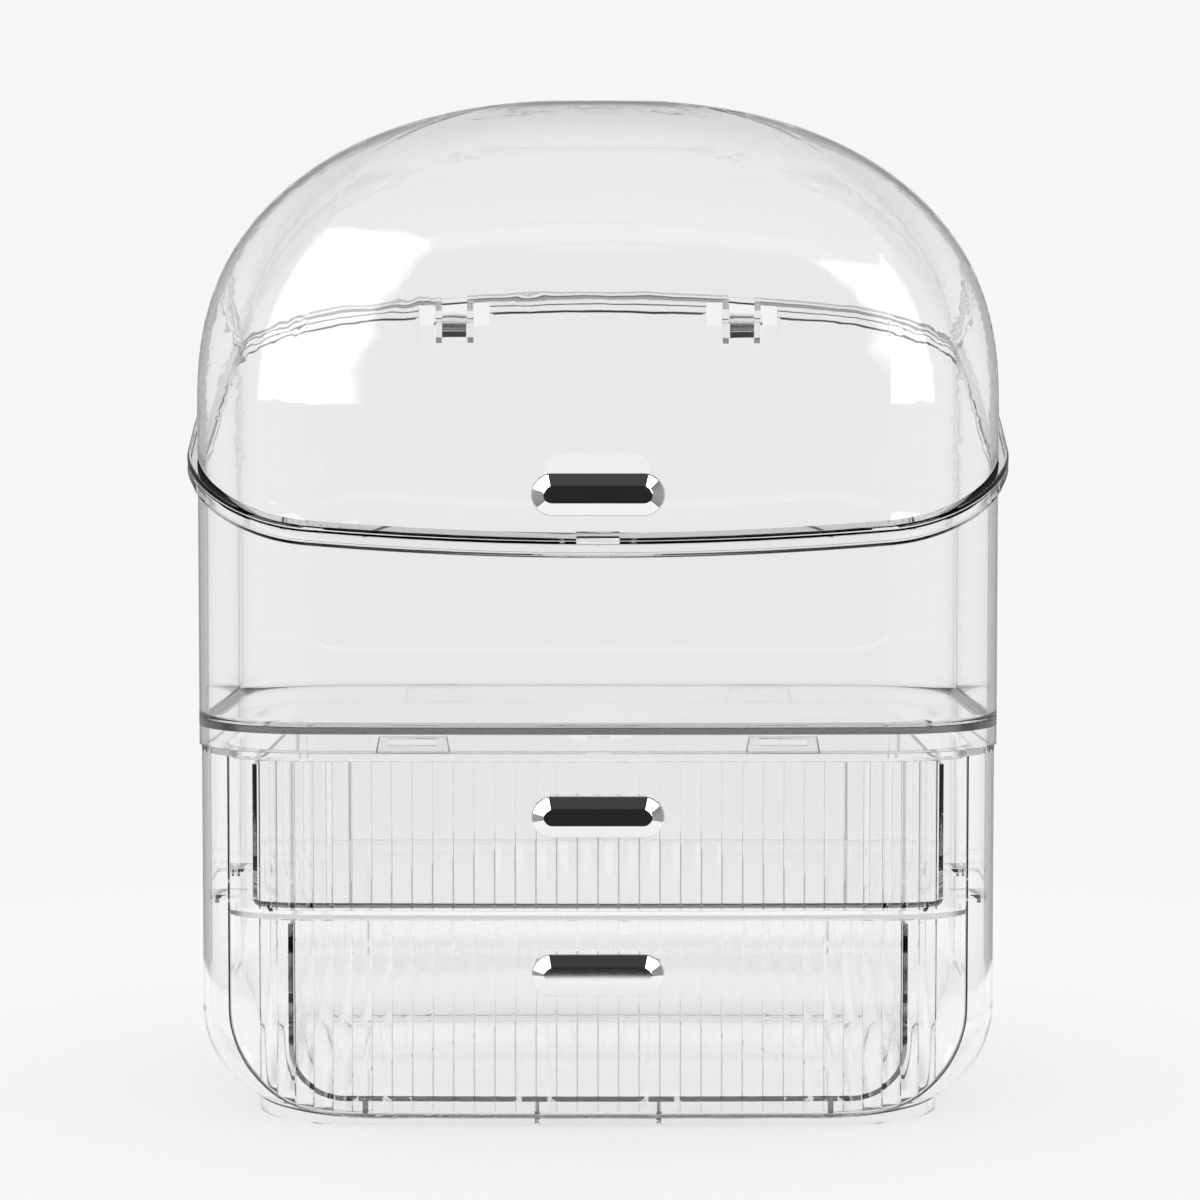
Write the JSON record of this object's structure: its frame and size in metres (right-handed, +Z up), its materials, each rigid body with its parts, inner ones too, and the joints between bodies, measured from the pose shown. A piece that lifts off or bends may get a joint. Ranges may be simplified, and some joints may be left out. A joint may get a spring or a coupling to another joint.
{
  "type": "vanity organizer with dome lid",
  "caption": "Free-standing clear box organizer: a hinged dome lid over an open tray, above a cabinet with a shallow and a deep fluted drawer, with pill-shaped metal-look handles.",
  "frame": {"origin": "on the table, under the middle of the overall box, handles and hinges included", "axes": "+Z up; the drawers and the lid's handle face -Y; the hinges are at +Y; +X is to the right as seen from the front"},
  "size_m": [0.2834, 0.1968, 0.3518],
  "materials": {
    "clear_plastic": "polished clear acrylic",
    "pin_plastic": "polished clear acrylic",
    "bright_metal": "mirror-bright plating"
  },
  "bodies": {
    "body": {"top_tray": "clear_plastic", "drawer_cabinet": "clear_plastic", "middle_shelf": "clear_plastic", "hinge_pin_left": "pin_plastic", "hinge_pin_right": "pin_plastic"},
    "lid": {"dome_lid": "clear_plastic", "lid_handle": "bright_metal"},
    "upper_drawer_body": {"upper_drawer": "clear_plastic", "upper_drawer_handle": "bright_metal"},
    "lower_drawer_body": {"lower_drawer": "clear_plastic", "lower_drawer_handle": "bright_metal"}
  },
  "joints": [
    {"name": "lid_hinge", "type": "hinge", "parent": "body", "child": "lid", "pos_m": [0, 0.095, 0.27607], "axis": [-1, 0, 0], "range_deg": [0, 105]},
    {"name": "upper_drawer_slide", "type": "slide", "parent": "body", "child": "upper_drawer_body", "axis": [0, -1, 0], "range_m": [0, 0.12]},
    {"name": "lower_drawer_slide", "type": "slide", "parent": "body", "child": "lower_drawer_body", "axis": [0, -1, 0], "range_m": [0, 0.12]}
  ]
}
